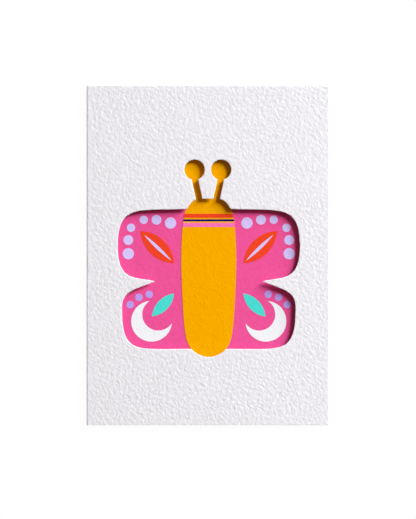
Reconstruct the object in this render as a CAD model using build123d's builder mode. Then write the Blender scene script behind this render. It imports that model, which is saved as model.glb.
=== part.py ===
# Folded paper card with a butterfly window cut through its front.
# Millimetres. The card lies on its back: +X right, +Y up the picture, +Z out of the front.
import os
from build123d import *

# Card
card_width = 127.0
card_height = 178.0
board = 0.4
crease_radius = 0.05

# Stack between the two panels
sheet_gap = 0.2
sheet = 0.3
ink = 0.03
body_ink = 0.1
foam = 1.6
sheet_inset = 2.5
print_bleed = 2.0

# Butterfly window, measured from its own axis
wing_shift = 0.6
wing_reach = 47.78
wing_high = 24.42
wing_wide = 4.8
notch_x = 28.2
notch_y = -13.6
lower_reach = 45.55
lower_wide = -27.5
lower_low = -49.05
head_top = 29.85
shoulder_x = 12.15
shoulder_y = 23.48
body_half = 14.48
body_wide = -1.8
hip_x = 11.41
hip_y = -45.03
tail_low = -53.3
ball_x = 6.95
ball_y = 45.0
ball_radius = 5.33
stem_width = 3.4
stem_foot_x = 4.35
feeler_shift = -0.5

# Heights of the layers
sheet_low = board + sheet_gap
sheet_top = sheet_low + sheet
ground_top = sheet_top + ink
body_top = ground_top + body_ink
panel_low = sheet_top + foam
total = panel_low + board

# Widths that follow from the ones above
half_width = card_width / 2
half_height = card_height / 2
fold_radius = board + crease_radius
sheet_width = card_width - 2 * sheet_inset
strip_room = half_width - sheet_inset - wing_reach - wing_shift - print_bleed
strip_width = 0.8 * strip_room
end_width = 0.048 * card_height
strip_end = half_height - sheet_inset - end_width
ball_top = ball_y + ball_radius

os.makedirs("parts", exist_ok=True)

# Both pairs of wings, as the edge of the cut runs
with BuildSketch() as wings:
    with BuildLine():
        Bezier(
            (shoulder_x, wing_high),
            (0.787 * wing_reach, wing_high - 0.045 * wing_high),
            (wing_reach, 1.118 * wing_high),
            (wing_reach, wing_wide),
        )
        Bezier(
            (wing_reach, wing_wide),
            (wing_reach, wing_wide - 1.062 * (wing_wide - notch_y)),
            (notch_x + 0.475 * (wing_reach - notch_x), notch_y + 0.15 * (wing_wide - notch_y)),
            (notch_x, notch_y),
        )
        Bezier(
            (notch_x, notch_y),
            (notch_x + 0.605 * (lower_reach - notch_x), notch_y - 0.315 * (notch_y - lower_wide)),
            (lower_reach, lower_wide + 0.67 * (notch_y - lower_wide)),
            (lower_reach, lower_wide),
        )
        Bezier(
            (lower_reach, lower_wide),
            (lower_reach, lower_wide - 1.18 * (lower_wide - lower_low)),
            (0.84 * lower_reach, lower_low + 0.007 * lower_reach),
            (0.6 * body_half, lower_low),
        )
        Polyline(
            (0.6 * body_half, lower_low), (0, lower_low), (0, wing_high), (shoulder_x, wing_high)
        )
    make_face()
    mirror(about=Plane.YZ)

# Head, body and tail
with BuildSketch() as body:
    with BuildLine():
        Bezier(
            (0, head_top),
            (0.635 * shoulder_x, head_top),
            (0.665 * shoulder_x, head_top + 0.003 * head_top),
            (shoulder_x, shoulder_y),
        )
        Bezier(
            (shoulder_x, shoulder_y),
            (
                shoulder_x + 0.656 * (body_half - shoulder_x),
                shoulder_y - 0.096 * (shoulder_y - body_wide),
            ),
            (body_half, body_wide + 0.35 * (shoulder_y - body_wide)),
            (body_half, body_wide),
        )
        Bezier(
            (body_half, body_wide),
            (body_half, body_wide - 0.152 * (body_wide - hip_y)),
            (hip_x + 0.762 * (body_half - hip_x), hip_y + 0.148 * (body_wide - hip_y)),
            (hip_x, hip_y),
        )
        Bezier(
            (hip_x, hip_y),
            (0.774 * hip_x, hip_y - 0.855 * (hip_y - tail_low)),
            (0.204 * hip_x, tail_low),
            (0, tail_low),
        )
        Line((0, tail_low), (0, head_top))
    make_face()
    mirror(about=Plane.YZ)


def feeler_line():
    """Draw the middle of the right feeler, from inside the head to its ball."""
    Bezier(
        (stem_foot_x, head_top - 0.1 * head_top),
        (stem_foot_x + 0.2, head_top + 0.1 * head_top),
        (ball_x, ball_y - 1.6 * ball_radius),
        (ball_x + 0.15, ball_y),
    )


# Two feelers with round ends
with BuildSketch() as feelers:
    with BuildLine():
        feeler_line()
    trace(line_width=stem_width)
    with Locations((ball_x, ball_y)):
        Circle(ball_radius)
    mirror(about=Plane.YZ)

# The whole opening, moved to its place on the card
with BuildSketch() as window:
    with Locations((wing_shift, 0)):
        add(wings.sketch)
        add(body.sketch)
    with Locations((wing_shift + feeler_shift, 0)):
        add(feelers.sketch)

# Cover: back panel, spine and front panel folded from one sheet
with BuildPart() as cover:
    with BuildSketch(Plane.XZ.offset(-half_height)):
        with Locations((0, total / 2)):
            Rectangle(card_width, total)
        with Locations((board, total / 2)):
            Rectangle(card_width, total - 2 * board, mode=Mode.SUBTRACT)
    extrude(amount=card_height)
    fillet(cover.edges().filter_by(Axis.Y).group_by(Axis.X)[0], radius=fold_radius)
    fillet(cover.edges().filter_by(Axis.Y).group_by(Axis.X)[1], radius=crease_radius)
    with BuildSketch(Plane.XY.offset(total)):
        add(window.sketch)
    extrude(amount=-(board + foam / 2), mode=Mode.SUBTRACT)
cover.part.label = "cover"
export_step(cover.part, "parts/cover.step")

# Sheet that carries the print
with BuildPart() as art_sheet:
    with BuildSketch(Plane.XY.offset(sheet_low)):
        Rectangle(sheet_width, card_height - 2 * sheet_inset)
    extrude(amount=sheet)
art_sheet.part.label = "art_sheet"
export_step(art_sheet.part, "parts/art_sheet.step")

# Strips that hold the front panel off the print
strip_x = half_width - sheet_inset - strip_width / 2
strip_y = strip_end + end_width / 2
strips = {
    "foam_strip_left": (-strip_x, 0, strip_width, 2 * strip_end),
    "foam_strip_right": (strip_x, 0, strip_width, 2 * strip_end),
    "foam_strip_top": (0, strip_y, sheet_width, end_width),
    "foam_strip_bottom": (0, -strip_y, sheet_width, end_width),
}
for name, (x, y, width, length) in strips.items():
    with BuildPart() as strip:
        with BuildSketch(Plane.XY.offset(sheet_top)):
            with Locations((x, y)):
                Rectangle(width, length)
        extrude(amount=foam)
    strip.part.label = name
    export_step(strip.part, f"parts/{name}.step")

# Pink ground of the print, a little larger than the opening
with BuildPart() as print_pink_ground:
    with BuildSketch(Plane.XY.offset(sheet_top)):
        with Locations((wing_shift, (ball_top + tail_low) / 2)):
            RectangleRounded(
                2 * (wing_reach + print_bleed), ball_top - tail_low + 2 * print_bleed, print_bleed
            )
    extrude(amount=ink)
print_pink_ground.part.label = "print_pink_ground"
export_step(print_pink_ground.part, "parts/print_pink_ground.step")

# Yellow body in thick raised ink; head, feelers and tail run on under the front panel
with BuildSketch() as body_ends:
    with Locations((0, head_top + print_bleed - 0.98 * body_half)):
        Circle(0.98 * body_half)
    with Locations((0, tail_low - print_bleed + 0.73 * body_half)):
        Circle(0.73 * body_half)
    with Locations((0, (wing_high + lower_low) / 2)):
        Rectangle(4 * body_half, wing_high - lower_low, mode=Mode.SUBTRACT)

with BuildSketch() as feelers_wide:
    with BuildLine():
        feeler_line()
    trace(line_width=stem_width + 2 * print_bleed)
    with Locations((ball_x, ball_y)):
        Circle(ball_radius + print_bleed)
    mirror(about=Plane.YZ)

with BuildPart() as print_yellow_body:
    with BuildSketch(Plane.XY.offset(ground_top)):
        with Locations((wing_shift, 0)):
            add(body.sketch)
            add(body_ends.sketch)
        with Locations((wing_shift + feeler_shift, 0)):
            add(feelers_wide.sketch)
    extrude(amount=body_ink)
print_yellow_body.part.label = "print_yellow_body"
export_step(print_yellow_body.part, "parts/print_yellow_body.step")

# Plain pattern on the wings, given as shares of the wing's size
upper = wing_reach
lower = lower_reach
leaf_foot = (0.38 * upper, -0.085 * upper)
leaf_tip = (0.755 * upper, 0.27 * upper)
leaf_width = 0.2 * upper
vein_foot = (0.41 * upper, -0.057 * upper)
vein_tip = (0.71 * upper, 0.227 * upper)
vein_width = 0.035 * upper
petal_foot = (0.4 * lower, lower_wide + 0.165 * lower)
petal_tip = (0.655 * lower, lower_wide - 0.1 * lower)
petal_width = 0.13 * lower
moon_x = 0.66 * lower
moon_y = lower_wide - 0.155 * lower
moon_radius = 0.235 * lower
moon_shift = 0.078 * lower
dot = 0.054 * upper
band = 0.07 * head_top


def leaf_arcs(foot, tip, width):
    """Draw the two arcs of a leaf between its foot and its tip."""
    run, rise = tip[0] - foot[0], tip[1] - foot[1]
    length = (run * run + rise * rise) ** 0.5
    side_x, side_y = -rise / length * width / 2, run / length * width / 2
    middle_x, middle_y = (foot[0] + tip[0]) / 2, (foot[1] + tip[1]) / 2
    ThreePointArc(foot, (middle_x + side_x, middle_y + side_y), tip)
    ThreePointArc(tip, (middle_x - side_x, middle_y - side_y), foot)


with BuildSketch() as leaves:
    with BuildLine():
        leaf_arcs(leaf_foot, leaf_tip, leaf_width)
    make_face()
    with BuildLine():
        leaf_arcs(vein_foot, vein_tip, vein_width)
    make_face(mode=Mode.SUBTRACT)
    mirror(about=Plane.YZ)

with BuildSketch() as veins:
    with BuildLine():
        leaf_arcs(vein_foot, vein_tip, vein_width)
    make_face()
    mirror(about=Plane.YZ)

with BuildSketch() as petals:
    with BuildLine():
        leaf_arcs(petal_foot, petal_tip, petal_width)
    make_face()
    mirror(about=Plane.YZ)

with BuildSketch() as moons:
    with Locations((moon_x, moon_y)):
        Circle(moon_radius)
    with Locations((moon_x - moon_shift, moon_y + moon_shift)):
        Circle(0.79 * moon_radius, mode=Mode.SUBTRACT)
    mirror(about=Plane.YZ)

# Dots that follow the outer edge of the upper wings
with BuildSketch() as margin_dots:
    with Locations((0.42 * upper, 0.70 * wing_high), (0.885 * upper, 0.02 * upper)):
        Circle(1.15 * dot)
    with Locations((0.575 * upper, 0.77 * wing_high), (0.885 * upper, 0.17 * upper)):
        Circle(dot)
    with Locations((0.715 * upper, 0.77 * wing_high), (0.855 * upper, 0.305 * upper)):
        Circle(0.85 * dot)
    mirror(about=Plane.YZ)

with BuildSketch() as small_dots:
    with Locations(
        (0.687 * lower, lower_wide + 0.156 * lower),
        (0.806 * lower, lower_wide + 0.121 * lower),
        (0.906 * lower, lower_wide + 0.037 * lower),
    ):
        Circle(0.043 * lower)
    mirror(about=Plane.YZ)

# Bands round the neck, cut to the outline of the body
with BuildSketch() as red_band:
    with Locations((0, 0.7 * head_top)):
        Rectangle(3 * body_half, band)
    add(body.sketch, mode=Mode.INTERSECT)

with BuildSketch() as navy_band:
    with Locations((0, 0.62 * head_top)):
        Rectangle(3 * body_half, band / 2)
    add(body.sketch, mode=Mode.INTERSECT)

with BuildSketch() as rose_band:
    with Locations((0, 0.54 * head_top)):
        Rectangle(3 * body_half, band)
    add(body.sketch, mode=Mode.INTERSECT)


def print_colour(name, *fields):
    """Lay one colour down as thin solids, each field at its own height."""
    with BuildPart() as layer:
        for height, field in fields:
            with BuildSketch(Plane.XY.offset(height)):
                with Locations((wing_shift, 0)):
                    add(field.sketch)
            extrude(amount=ink)
    layer.part.label = name
    export_step(layer.part, f"parts/{name}.step")


# One node for each printed colour
print_colour("print_red", (ground_top, leaves), (body_top, red_band))
print_colour("print_navy", (body_top, navy_band))
print_colour("print_rose", (body_top, rose_band))
print_colour("print_teal", (ground_top, petals))
print_colour("print_lilac", (ground_top, veins), (ground_top, margin_dots))
print_colour("print_lavender", (ground_top, small_dots))
print_colour("print_white", (ground_top, moons))
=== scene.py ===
import math

import bmesh
import bpy
import numpy as np
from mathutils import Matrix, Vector
from mathutils.geometry import delaunay_2d_cdt


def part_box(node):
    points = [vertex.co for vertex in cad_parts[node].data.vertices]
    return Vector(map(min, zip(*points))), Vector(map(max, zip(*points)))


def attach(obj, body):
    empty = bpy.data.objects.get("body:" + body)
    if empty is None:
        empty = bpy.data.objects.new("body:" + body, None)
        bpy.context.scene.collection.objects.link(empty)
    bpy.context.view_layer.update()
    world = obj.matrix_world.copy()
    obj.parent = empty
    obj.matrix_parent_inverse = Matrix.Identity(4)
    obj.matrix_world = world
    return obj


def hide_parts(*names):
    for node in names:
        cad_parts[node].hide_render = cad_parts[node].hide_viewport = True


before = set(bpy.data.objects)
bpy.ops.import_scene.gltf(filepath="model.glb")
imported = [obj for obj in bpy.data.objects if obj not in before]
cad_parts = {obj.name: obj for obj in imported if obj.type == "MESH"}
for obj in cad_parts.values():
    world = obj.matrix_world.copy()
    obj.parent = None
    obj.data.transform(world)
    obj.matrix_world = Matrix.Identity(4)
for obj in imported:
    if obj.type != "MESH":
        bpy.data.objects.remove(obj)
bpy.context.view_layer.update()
print("frame loaded:", len(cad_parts), "nodes")

mm = 0.001


# small helpers for outlines, which are closed rows of x and y in mm

def cutEdgeLoop(node, topZ):
    # the window's outline, read from the card's own flat top: edges that only one
    # level triangle uses, chained into loops, and the narrower loop is the window
    mesh = node.data
    points = np.empty(len(mesh.vertices) * 3)
    mesh.vertices.foreach_get("co", points)
    points = points.reshape(-1, 3)
    corners = np.empty(len(mesh.polygons) * 3, int)
    mesh.polygons.foreach_get("vertices", corners)
    weld = 1e-6
    keys, welded = np.unique(np.round(points / weld).astype(int), axis=0, return_inverse=True)
    faces = welded.ravel()[corners].reshape(-1, 3)
    places = keys * weld
    level = (np.abs(places[faces][:, :, 2] - topZ) < 2 * weld).all(1)
    faces = faces[level]
    starts = faces.ravel()
    ends = np.roll(faces, -1, 1).ravel()
    directed = {(int(a), int(b)) for a, b in zip(starts, ends)}
    onward = {a: b for a, b in directed if (b, a) not in directed}
    loops = []
    while onward:
        first, here = onward.popitem()
        loop = [first]
        while here != first:
            loop.append(here)
            here = onward.pop(here)
        loops.append(places[loop][:, :2])
    loops.sort(key=lambda p: np.ptp(p[:, 0]))
    return loops[0]


def evenLoop(loop, pitch):
    # every side of the loop is cut into equal steps no longer than the pitch
    following = np.roll(loop, -1, 0)
    lengths = np.hypot(*(following - loop).T)
    counts = np.maximum(1, np.ceil(lengths / pitch).astype(int))
    side = np.repeat(np.arange(len(loop)), counts)
    step = np.arange(counts.sum()) - np.repeat(np.cumsum(counts) - counts, counts)
    share = (step / counts[side])[:, None]
    return loop[side] * (1 - share) + following[side] * share


def thinLoop(loop, pitch, sharpTurn=0.3):
    # drops points that crowd closer than half the pitch, unless the outline turns there
    before, after = loop - np.roll(loop, 1, 0), np.roll(loop, -1, 0) - loop
    turn = np.abs(np.arctan2(before[:, 0] * after[:, 1] - before[:, 1] * after[:, 0],
                             (before * after).sum(1)))
    gap = np.hypot(*before.T)
    keep = (gap > pitch / 2) | (turn > sharpTurn)
    return loop[keep]


def distanceTo(loop, points, chunk=4000):
    # shortest distance from each point to the closed outline
    start, run = loop, np.roll(loop, -1, 0) - loop
    length = (run ** 2).sum(1)
    best = np.empty(len(points))
    for i in range(0, len(points), chunk):
        away = points[i:i + chunk, None] - start
        share = np.clip((away * run).sum(2) / length, 0, 1)
        best[i:i + chunk] = np.sqrt(((away - share[..., None] * run) ** 2).sum(2).min(1))
    return best


def insideLoop(loop, points, chunk=4000):
    # even and odd crossings of a ray that runs along +X
    a, b = loop, np.roll(loop, -1, 0)
    inside = np.empty(len(points), bool)
    for i in range(0, len(points), chunk):
        x, y = points[i:i + chunk, 0, None], points[i:i + chunk, 1, None]
        spans = (a[:, 1] > y) != (b[:, 1] > y)
        rise = np.where(np.abs(b[:, 1] - a[:, 1]) < 1e-12, 1e-12, b[:, 1] - a[:, 1])
        crossing = (b[:, 0] - a[:, 0]) * (y - a[:, 1]) / rise + a[:, 0]
        inside[i:i + chunk] = (spans & (x < crossing)).sum(1) % 2 == 1
    return inside


def nearLoop(loop, points, reach=1.0):
    # true for the points in the loop's own box, widened by reach
    return ((points >= loop.min(0) - reach) & (points <= loop.max(0) + reach)).all(1)


def ringAlong(loop, depth):
    # the outline moved sideways by depth, along the mean of its two sides' normals
    run = np.roll(loop, -1, 0) - loop
    normal = np.stack([run[:, 1], -run[:, 0]], 1) / np.hypot(*run.T)[:, None]
    mean = normal + np.roll(normal, 1, 0)
    mean /= np.maximum(np.hypot(*mean.T), 0.5)[:, None]
    return loop + depth * mean


card = {
    "board": 0.4,            # thickness of the board, mm
    "foldRadius": 0.45,      # outer radius of each fold
    "frontPitch": 0.53,      # spacing of the mesh on the front
    "backPitch": 1.3,
    "foldPitch": 0.2,
    "insidePitch": 4.0,
    "windowPitch": 0.5,
    "windowJoin": 0.25,      # the window's points that crowd closer than half of this go
    "lipWidth": 0.55,        # rounding of the pressed edge round the window
    "lipDrop": 0.08,
    "lipRows": (0.1, 0.28, 0.55, 1.0),  # rows of points across the lip, as shares of it
    "lipMargin": 0.22,       # how far the even mesh stays off the lip
    "edgeWidth": 0.12,       # rounding of the trimmed outer edges
    "edgeDrop": 0.03,
    "edgeRows": (0.15, 0.45, 1.0),
    "edgeMargin": 0.15,
    "insideMargin": 0.3,     # how far the inside's mesh stays off the outer edges
    "insideLip": 0.8,        # and off the window
    "markSize": 2.6,         # usual length of the felt's marks
    "longSpread": 0.4,       # how far the marks' lengths spread above and below it
    "shortSpread": 0.6,
    "crossShare": 0.55,      # how much weaker the marks are that lie across the sheet
    "crossTurn": 8.0,        # degrees by which the sheet's grain leans
    "markSlope": 0.049,      # how steep the marks are
    "markLimit": 2.2,        # marks flatten out towards this many times their usual height
    "markCell": 0.2,         # spacing of the grid that the marks are made on
    "markRim": 15,           # cells of that grid outside the sheet
    "sharpAngle": 42.0,      # degrees over which an edge is shaded sharp
    "seed": 11,
}

low, high = (np.array(v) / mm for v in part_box("cover"))
cardWidth, cardHeight, cardTop = high[0] - low[0], high[1] - low[1], high[2]
halfWidth, halfHeight = cardWidth / 2, cardHeight / 2

# lengths along the sheet, from the front's free edge round the spine to the back's free edge
frontRun = cardWidth - card["foldRadius"]
bendRun = card["foldRadius"] * math.pi / 2
spineRun = cardTop - 2 * card["foldRadius"]
foldStart, foldEnd = frontRun, frontRun + 2 * bendRun + spineRun
sheetRun = foldEnd + frontRun


def foldSheet(along, across, depth):
    # wraps the flat sheet: straight front, a quarter turn, the spine, a quarter turn,
    # straight back; depth is measured inwards from the outer face
    radius = card["foldRadius"]
    centreX = -halfWidth + radius
    turnOne = np.clip((along - foldStart) / radius, 0, math.pi / 2)
    turnTwo = np.clip((along - foldStart - bendRun - spineRun) / radius, 0, math.pi / 2)
    angle = math.pi / 2 + turnOne + turnTwo
    outX, outZ = np.cos(angle), np.sin(angle)
    down = np.clip(along - foldStart - bendRun, 0, spineRun)
    frontLeft = np.clip(frontRun - along, 0, None)
    backLeft = np.clip(along - foldEnd, 0, None)
    x = centreX + frontLeft + backLeft + (radius - depth) * outX
    z = cardTop - radius - down + (radius - depth) * outZ
    return np.stack([x, across, z], 1)


def feltMarks(along, across):
    # band-passed noise: each wave's slope follows a bell curve over the logarithm of its
    # length, peaking at markSize; read between grid points by straight-line weights
    cell, rim = card["markCell"], card["markRim"]
    nx, ny = int(sheetRun / cell) + 40, int(cardHeight / cell) + 40
    noise = np.random.default_rng(card["seed"]).standard_normal((ny, nx))
    kx, ky = np.fft.fftfreq(nx, cell)[None], np.fft.fftfreq(ny, cell)[:, None]
    k = np.hypot(kx, ky)
    k[0, 0] = 1
    octave = np.log(k * card["markSize"])
    spread = np.where(octave < 0, card["longSpread"], card["shortSpread"])
    lean = math.radians(card["crossTurn"])
    crossing = ((kx * math.sin(lean) + ky * math.cos(lean)) / k) ** 8
    gain = np.exp(-0.5 * (octave / spread) ** 2) / k * (1 - card["crossShare"] * crossing)
    gain[0, 0] = 0
    height = np.fft.ifft2(np.fft.fft2(noise) * gain).real
    height *= card["markSlope"] / (np.diff(height, axis=1) / cell).std()
    limit = card["markLimit"] * height.std()
    height = limit * np.tanh(height / limit)
    column = np.clip(along / cell + rim, 0, nx - 2)
    row = np.clip((across + halfHeight) / cell + rim, 0, ny - 2)
    i, j = row.astype(int), column.astype(int)
    u, v = row - i, column - j
    value = ((1 - u) * (1 - v) * height[i, j] + (1 - u) * v * height[i, j + 1]
             + u * (1 - v) * height[i + 1, j] + u * v * height[i + 1, j + 1])
    return height.max() - value


def roundedDrop(distance, width, drop):
    # a quarter ellipse: full drop at the cut, none from width inwards
    share = np.clip(1 - distance / width, 0, 1)
    return drop * (1 - np.sqrt(1 - share ** 2))


def lines(start, end, pitch):
    return np.linspace(start, end, int((end - start) / pitch) + 1)


def gridOf(columns, rows):
    x, y = np.meshgrid(columns, rows)
    return np.stack([x.ravel(), y.ravel()], 1)


def insideEdges(points, margin):
    # the points that lie more than the margin inside the flat sheet's outer edges
    past = np.maximum(np.abs(points[:, 1]) - halfHeight,
                      np.maximum(-points[:, 0], points[:, 0] - sheetRun))
    return points[past < -margin]


def triangulate(points, outlines, hole):
    # joins flat points into triangles that keep every outline, then opens the hole
    edges, offset = [], 0
    for outline in outlines:
        n = len(outline)
        here = np.arange(n)
        edges += (np.stack([here, (here + 1) % n], 1) + offset).tolist()
        offset += n
    stacked = np.concatenate(list(outlines) + [points])
    out = delaunay_2d_cdt([Vector(p) for p in stacked.tolist()], edges, [], 1, 1e-5)
    flat = np.array([tuple(p) for p in out[0]])
    faces = np.array([f for f in out[2] if len(f) == 3])
    rim = distanceTo(hole, flat) < 1e-4
    onRim = rim[faces].all(1)
    drop = np.zeros(len(faces), bool)
    drop[onRim] = insideLoop(hole, flat[faces[onRim]].mean(1))
    faces = faces[~drop]
    place = np.full(len(stacked), -1)
    for index, olds in enumerate(out[3]):
        for old in olds:
            place[old] = index
    return flat, faces, place[:offset]


def windowOnSheet():
    # the window's outline on the flat sheet, counted anticlockwise
    window = cutEdgeLoop(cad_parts["cover"], cardTop * mm) / mm
    window = evenLoop(thinLoop(window, card["windowJoin"]), card["windowPitch"])
    hole = np.stack([halfWidth - window[:, 0], window[:, 1]], 1)
    ahead = np.roll(hole, -1, 0)
    area = (hole[:, 0] * ahead[:, 1] - hole[:, 1] * ahead[:, 0]).sum()
    return hole[::-1] if area < 0 else hole


def outerPoints(hole, border, frontLines, foldLines, backLines, across):
    # an even grid, with closer rows where the lip and the trimmed edges are rounded
    front = gridOf(np.concatenate([frontLines[1:], foldLines[1:]]), across[1:-1])
    backRows = lines(-halfHeight, halfHeight, card["backPitch"])
    grid = np.concatenate([front, gridOf(backLines[1:-1], backRows[1:-1])])
    grid = insideEdges(grid, card["edgeWidth"] + card["edgeMargin"])
    boxed = nearLoop(hole, grid)
    free = np.ones(len(grid), bool)
    clear = distanceTo(hole, grid[boxed]) > card["lipWidth"] + card["lipMargin"]
    free[boxed] = ~insideLoop(hole, grid[boxed]) & clear
    grid = grid[free]

    rings = []
    for share in card["lipRows"]:
        depth = share * card["lipWidth"]
        ring = ringAlong(hole, depth)
        rings.append(ring[distanceTo(hole, ring) > 0.85 * depth])
    rings = np.concatenate(rings)
    rings = rings[~insideLoop(hole, rings)]

    inset = []
    centre = np.array([sheetRun / 2, 0])
    for share in card["edgeRows"]:
        scale = 1 - 2 * share * card["edgeWidth"] / np.array([sheetRun, cardHeight])
        inset.append((border - centre) * scale + centre)
    return np.concatenate([grid, rings] + inset)


def innerPoints(hole, foldLines, across):
    # the smooth side needs few points, and closer ones only round the folds
    pitch = card["insidePitch"]
    points = gridOf(np.linspace(0, sheetRun, int(sheetRun / pitch)),
                    np.linspace(-halfHeight, halfHeight, int(cardHeight / pitch)))
    points = np.concatenate([points, gridOf(foldLines, across[::6])])
    points = insideEdges(points, card["insideMargin"])
    clear = distanceTo(hole, points) > card["insideLip"]
    return points[~insideLoop(hole, points) & clear]


def outerRelief(flat, hole):
    # how deep each point of the outer face lies under the sheet's highest
    toBorder = np.minimum(halfHeight - np.abs(flat[:, 1]),
                          np.minimum(flat[:, 0], sheetRun - flat[:, 0]))
    toHole = np.full(len(flat), halfHeight)
    boxed = nearLoop(hole, flat)
    toHole[boxed] = distanceTo(hole, flat[boxed])
    return (feltMarks(flat[:, 0], flat[:, 1])
            + roundedDrop(toBorder, card["edgeWidth"], card["edgeDrop"])
            + roundedDrop(toHole, card["lipWidth"], card["lipDrop"]))


def cutStrips(loops, outerRim, innerRim, innerStart, middleStart):
    # the cut edges: from the outer rim through one middle line to the inner rim
    strips = []
    for loop in loops:
        onward = np.roll(loop, -1)
        a, b = outerRim[loop], outerRim[onward]
        c, d = loop + middleStart, onward + middleStart
        e, f = innerRim[loop] + innerStart, innerRim[onward] + innerStart
        strips += [np.stack([a, b, d, c], 1), np.stack([c, d, f, e], 1)]
    return np.concatenate(strips)


def meshObject(name, points, faces):
    mesh = bpy.data.meshes.new(name)
    mesh.from_pydata((points * mm).tolist(), [], faces)
    mesh.polygons.foreach_set("use_smooth", np.ones(len(mesh.polygons), bool))
    mesh.update()
    piece = bpy.data.objects.new(name, mesh)
    bpy.context.scene.collection.objects.link(piece)
    return piece


def turnOutwards(mesh):
    # all faces look out of the sheet; gives the number of edges that aren't closed
    work = bmesh.new()
    work.from_mesh(mesh)
    bmesh.ops.recalc_face_normals(work, faces=work.faces)
    openEdges = sum(1 for e in work.edges if len(e.link_faces) != 2)
    work.to_mesh(mesh)
    work.free()
    return openEdges


def buildCard():
    hole = windowOnSheet()
    across = lines(-halfHeight, halfHeight, card["frontPitch"])
    frontLines = lines(0, foldStart, card["frontPitch"])
    foldLines = lines(foldStart, foldEnd, card["foldPitch"])
    backLines = np.linspace(foldEnd, sheetRun, int(frontRun / card["backPitch"]) + 1)
    alongLines = np.concatenate([frontLines, foldLines[1:], backLines[1:]])
    border = np.concatenate([
        np.stack([alongLines, np.full(len(alongLines), -halfHeight)], 1)[:-1],
        np.stack([np.full(len(across), sheetRun), across], 1)[:-1],
        np.stack([alongLines[::-1], np.full(len(alongLines), halfHeight)], 1)[:-1],
        np.stack([np.zeros(len(across)), across[::-1]], 1)[:-1],
    ])

    fine = outerPoints(hole, border, frontLines, foldLines, backLines, across)
    coarse = innerPoints(hole, foldLines, across)
    outerFlat, outerFaces, outerRim = triangulate(fine, (border, hole), hole)
    innerFlat, innerFaces, innerRim = triangulate(coarse, (border, hole), hole)

    outerDepth = outerRelief(outerFlat, hole)
    outer = foldSheet(outerFlat[:, 0], outerFlat[:, 1], outerDepth)
    inner = foldSheet(innerFlat[:, 0], innerFlat[:, 1], np.full(len(innerFlat), card["board"]))
    rimFlat = np.concatenate([border, hole])
    middle = foldSheet(rimFlat[:, 0], rimFlat[:, 1],
                       (outerDepth[outerRim] + card["board"]) / 2)
    points = np.concatenate([outer, inner, middle])
    loops = np.arange(len(border)), np.arange(len(hole)) + len(border)
    strips = cutStrips(loops, outerRim, innerRim, len(outer), len(outer) + len(inner))
    faces = (outerFaces.tolist() + (innerFaces[:, ::-1] + len(outer)).tolist()
             + strips.tolist())

    piece = meshObject("feltCard", points, faces)
    finishOf = np.repeat([0, 1, 2], [len(outerFaces), len(innerFaces), len(strips)])
    piece.data.polygons.foreach_set("material_index", finishOf)
    openEdges = turnOutwards(piece.data)
    piece.data.set_sharp_from_angle(angle=math.radians(card["sharpAngle"]))
    triangles = sum(len(p.vertices) - 2 for p in piece.data.polygons)
    print("card:", triangles, "triangles,", openEdges, "open edges")
    return piece


feltCard = buildCard()
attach(feltCard, "root")
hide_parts("cover")


class Wire:
    # wraps a socket, so that sums and products of values become Math nodes

    def __init__(self, tree, socket=None):
        self.tree, self.socket = tree, socket

    def node(self, kind, settings=None, inputs=None, out=0):
        made = self.tree.nodes.new(kind)
        for key, value in (settings or {}).items():
            setattr(made, key, value)
        for key, value in (inputs or {}).items():
            if isinstance(value, Wire):
                self.tree.links.new(value.socket, made.inputs[key])
            else:
                made.inputs[key].default_value = value
        return Wire(self.tree, made.outputs[out] if made.outputs else None)

    def maths(self, operation, a, b):
        return self.node("ShaderNodeMath", {"operation": operation}, {0: a, 1: b})

    def __add__(self, other):
        return self.maths("ADD", self, other)

    def __rsub__(self, other):
        return self.maths("SUBTRACT", other, self)

    def __mul__(self, other):
        return self.maths("MULTIPLY", self, other)

    def __rmul__(self, other):
        return self.maths("MULTIPLY", other, self)

    def mixColour(self, a, b, share):
        return self.node("ShaderNodeMix", {"data_type": "RGBA"}, {0: share, 6: a, 7: b}, 2)

    def noise(self, where, size, detail=2.0, roughness=0.5):
        return self.node("ShaderNodeTexNoise", {}, {
            "Vector": where, "Scale": 1 / (size * mm), "Detail": detail, "Roughness": roughness})

    def strokes(self, where, size, lean=26.0, stretch=1.6):
        # short soft strokes, drawn out up the sheet and leaning to the left
        drawn = self.node("ShaderNodeMapping", {"vector_type": "TEXTURE"}, {
            "Vector": where, "Rotation": (0, 0, math.radians(lean)), "Scale": (1, stretch, 1)})
        return self.noise(drawn, size, 0.5)

    def bump(self, height):
        # height is in mm
        return self.node("ShaderNodeBump", {}, {"Strength": 1.0, "Distance": mm, "Height": height})


def newMaterial(name):
    material = bpy.data.materials.new(name)
    material.use_nodes = True
    tree = material.node_tree
    tree.nodes.clear()
    wire = Wire(tree)
    where = wire.node("ShaderNodeTexCoord", out="Object")
    return material, wire, where


def finish(wire, base, roughness, normal, gloss):
    shader = wire.node("ShaderNodeBsdfPrincipled", {}, {
        "Base Color": base, "Roughness": roughness, "Normal": normal,
        "Specular IOR Level": gloss})
    wire.node("ShaderNodeOutputMaterial", {}, {"Surface": shader})


def linear(red, green, blue):
    # screen colour, 0 to 255, to the light that the shader works in
    c = np.array([red, green, blue]) / 255
    c = np.where(c <= 0.04045, c / 12.92, ((c + 0.055) / 1.055) ** 2.4)
    return (*c.tolist(), 1.0)


board = {
    "colour": (247, 245, 248),
    "shade": (224, 220, 225),
    "cloudSize": 2.3,        # mm, soft changes of tone
    "grainSize": 0.9,
    "roughness": 0.9,
    "gloss": 0.03,
    "fibreSize": 0.95,       # the felt's finest marks, too short for the mesh
    "fibreDepth": 0.09,
    "insideDepth": 0.02,     # the smooth side
}

cut = {
    "colour": (241, 239, 242),
    "shade": (222, 219, 222),
    "layerSize": 0.09,       # mm, fibres that show where the board is cut
    "layerRun": 1.6,
    "layerDepth": 0.03,
    "roughness": 0.95,
    "gloss": 0.05,
}


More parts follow.
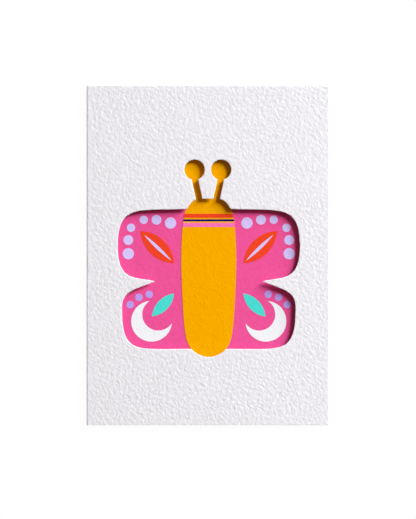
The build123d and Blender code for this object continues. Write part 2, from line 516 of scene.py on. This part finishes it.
def boardMaterial(name, depth):
    material, wire, where = newMaterial(name)
    cloud = wire.noise(where, board["cloudSize"], 2)
    grain = wire.noise(where, board["grainSize"], 3, 0.6)
    tint = wire.mixColour(linear(*board["shade"]), linear(*board["colour"]),
                          0.7 * cloud + 0.3 * grain)
    fibre = wire.strokes(where, board["fibreSize"])
    finish(wire, tint, board["roughness"] - 0.06 * grain, wire.bump(fibre * depth),
           board["gloss"])
    return material


def cutBoardMaterial():
    # layers of fibre that run along the cut
    material, wire, where = newMaterial("board cut")
    run = 1 / cut["layerRun"]
    drawn = wire.node("ShaderNodeMapping", {}, {
        "Vector": where, "Scale": (run, run, 1 / cut["layerSize"])})
    layers = wire.noise(drawn, 1.0, 3, 0.6)
    tint = wire.mixColour(linear(*cut["shade"]), linear(*cut["colour"]), layers)
    finish(wire, tint, cut["roughness"] - 0.08 * layers,
           wire.bump(layers * cut["layerDepth"]), cut["gloss"])
    return material


paper = {
    "toothSize": 1.7,        # mm, the print paper's own faint tooth
    "toothDepth": 0.04,
    "grainSize": 0.85,
    "grainDepth": 0.053,
    "colour": (241, 240, 243),
    "shade": (232, 231, 234),
    "roughness": 0.88,
    "gloss": 0.1,
}

ink = {
    "cloudSize": 2.2,        # mm
    "unevenness": 0.25,      # how far the ink's cover varies
    "roughness": 0.9,
    "gloss": 0.0,
}

inks = {
    "print_pink_ground": (239, 85, 153),
    "print_yellow_body": (247, 170, 0),
    "print_red": (241, 70, 38),
    "print_navy": (2, 14, 104),
    "print_rose": (250, 116, 186),
    "print_teal": (76, 220, 209),
    "print_lilac": (213, 197, 248),
    "print_lavender": (186, 161, 238),
    "print_white": (243, 243, 247),
}


def paperRelief(wire, where):
    tooth = wire.strokes(where, paper["toothSize"])
    grain = wire.strokes(where, paper["grainSize"])
    return grain, wire.bump(tooth * paper["toothDepth"] + grain * paper["grainDepth"])


def inkMaterial(name, colour):
    # ink covers the paper a little unevenly: each channel moves by a share of what it
    # both holds and lacks, so black and white stay and the tones between them vary
    material, wire, where = newMaterial(name.replace("print_", "ink "))
    grain, bump = paperRelief(wire, where)
    solid = np.array(linear(*colour)[:3])
    change = ink["unevenness"] * solid * (1 - solid)
    cloud = wire.noise(where, ink["cloudSize"], 2)
    tint = wire.mixColour((*(solid - change), 1.0), (*(solid + change), 1.0),
                          0.65 * cloud + 0.35 * grain)
    finish(wire, tint, ink["roughness"] - 0.08 * grain, bump, ink["gloss"])
    return material


def plainPaperMaterial():
    material, wire, where = newMaterial("plain paper")
    grain, bump = paperRelief(wire, where)
    tint = wire.mixColour(linear(*paper["shade"]), linear(*paper["colour"]), grain)
    finish(wire, tint, paper["roughness"] - 0.05 * grain, bump, paper["gloss"])
    return material


foamTape = {
    "colour": (240, 239, 238),
    "shade": (214, 213, 212),
    "cellSize": 0.35,        # mm
    "fineSize": 0.15,
    "cellDepth": 0.06,
    "roughness": 0.95,
    "gloss": 0.1,
}


def foamMaterial():
    material, wire, where = newMaterial("foam tape")
    cells = wire.node("ShaderNodeTexVoronoi", {"feature": "SMOOTH_F1"}, {
        "Vector": where, "Scale": 1 / (foamTape["cellSize"] * mm), "Smoothness": 0.4})
    fine = wire.noise(where, foamTape["fineSize"], 2)
    height = cells * 0.7 + fine * 0.3
    tint = wire.mixColour(linear(*foamTape["shade"]), linear(*foamTape["colour"]), height)
    finish(wire, tint, foamTape["roughness"] - 0.1 * fine,
           wire.bump(height * foamTape["cellDepth"]), foamTape["gloss"])
    return material


def setMaterial(piece, material):
    if not piece.material_slots:
        piece.data.materials.append(material)
    for place in piece.material_slots:
        place.material = material


feltCard.data.materials.append(boardMaterial("felt board", board["fibreDepth"]))
feltCard.data.materials.append(boardMaterial("board inside", board["insideDepth"]))
feltCard.data.materials.append(cutBoardMaterial())
setMaterial(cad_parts["art_sheet"], plainPaperMaterial())
foam = foamMaterial()
for side in ("left", "right", "top", "bottom"):
    setMaterial(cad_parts["foam_strip_" + side], foam)
for name, colour in inks.items():
    setMaterial(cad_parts[name], inkMaterial(name, colour))
print("finishes:", len(bpy.data.materials))


studio = {
    "lightAzimuth": 39.0,      # degrees from +X towards +Y
    "lightElevation": 19.0,
    "lightDistance": 3.2,      # m
    "lightWidth": 0.9,
    "lightHeight": 1.9,
    "lightTurn": 10.5,         # degrees by which the lamp faces past the card
    "lightSpread": 100.0,
    "lightPower": 103.5,
    "lightColour": (0.92, 0.98, 1.0),
    "fill": 0.175,             # the room's own light, warm as the photographed shadows are
    "fillColour": (1.0, 0.7, 0.6),
    "floorReach": 6.0,
    "floorDrop": 0.02,         # mm, so that the card's back and the floor don't share a plane
    "floorTone": 0.95,
    "floorGlow": 0.97,         # share of plain white in what the camera sees of the floor
    "floorWhite": 1.01,
}

view = {
    "perPixel": 0.5247 * mm,   # of the card, to each pixel of the picture
    "rows": 519,
    "lens": 135.0,
    "sensor": 36.0,
    "shift": (0.42, -4.0),     # pixels from the card's centre
}


def whereSeen(wire):
    # 1 for what the camera sees itself, in a gloss or through glass
    path = wire.tree.nodes.new("ShaderNodeLightPath")
    seen, glossy, through = (Wire(wire.tree, path.outputs[name]) for name in
                             ("Is Camera Ray", "Is Glossy Ray", "Is Transmission Ray"))
    return wire.maths("MAXIMUM", wire.maths("MAXIMUM", seen, glossy), through)


def buildFloor():
    mesh = bpy.data.meshes.new("floor")
    reach = studio["floorReach"]
    corners = [(-reach, -reach, 0), (reach, -reach, 0), (reach, reach, 0), (-reach, reach, 0)]
    mesh.from_pydata(corners, [], [(0, 1, 2, 3)])
    floor = bpy.data.objects.new("floor", mesh)
    floor.location.z = -studio["floorDrop"] * mm
    bpy.context.scene.collection.objects.link(floor)
    material, wire, _ = newMaterial("floor")
    tone, white = studio["floorTone"], studio["floorWhite"]
    diffuse = wire.node("ShaderNodeBsdfDiffuse", {}, {"Color": (tone, tone, tone, 1)})
    glow = wire.node("ShaderNodeEmission", {}, {"Color": (1, 1, 1, 1), "Strength": white})
    both = wire.node("ShaderNodeMixShader", {}, {
        0: whereSeen(wire) * studio["floorGlow"], 1: diffuse, 2: glow})
    wire.node("ShaderNodeOutputMaterial", {}, {"Surface": both})
    floor.data.materials.append(material)


def buildWorld():
    world = bpy.data.worlds.new("room")
    bpy.context.scene.world = world
    world.use_nodes = True
    world.node_tree.nodes.clear()
    wire = Wire(world.node_tree)
    fill = wire.node("ShaderNodeBackground", {}, {
        "Color": (*studio["fillColour"], 1), "Strength": studio["fill"]})
    white = wire.node("ShaderNodeBackground", {}, {"Color": (1, 1, 1, 1), "Strength": 1.0})
    both = wire.node("ShaderNodeMixShader", {}, {0: whereSeen(wire), 1: fill, 2: white})
    wire.node("ShaderNodeOutputWorld", {}, {"Surface": both})


def fromCard(azimuth, elevation):
    # unit direction from the card, for angles in degrees
    a, e = math.radians(azimuth), math.radians(elevation)
    return Vector((math.cos(a) * math.cos(e), math.sin(a) * math.cos(e), math.sin(e)))


def buildLight():
    azimuth, elevation = studio["lightAzimuth"], studio["lightElevation"]
    lamp = bpy.data.lights.new("softbox", "AREA")
    lamp.shape = "RECTANGLE"
    lamp.size, lamp.size_y = studio["lightWidth"], studio["lightHeight"]
    lamp.energy = studio["lightPower"]
    lamp.spread = math.radians(studio["lightSpread"])
    lamp.color = studio["lightColour"]
    piece = bpy.data.objects.new("softbox", lamp)
    piece.location = fromCard(azimuth, elevation) * studio["lightDistance"]
    turned = fromCard(azimuth + studio["lightTurn"], elevation)
    piece.rotation_euler = turned.to_track_quat("Z", "Y").to_euler()
    bpy.context.scene.collection.objects.link(piece)


def buildCamera():
    # straight above the card
    perPixel = view["perPixel"]
    distance = view["rows"] * perPixel * view["lens"] / view["sensor"]
    data = bpy.data.cameras.new("camera")
    data.lens, data.sensor_width = view["lens"], view["sensor"]
    data.clip_start, data.clip_end = 0.05, 50
    camera = bpy.data.objects.new("camera", data)
    shiftX, shiftY = view["shift"]
    camera.location = (shiftX * perPixel, shiftY * perPixel, cardTop * mm + distance)
    bpy.context.scene.collection.objects.link(camera)
    bpy.context.scene.camera = camera


buildFloor()
buildWorld()
buildLight()
buildCamera()
bpy.context.scene.view_settings.view_transform = "Standard"
print("studio ready")
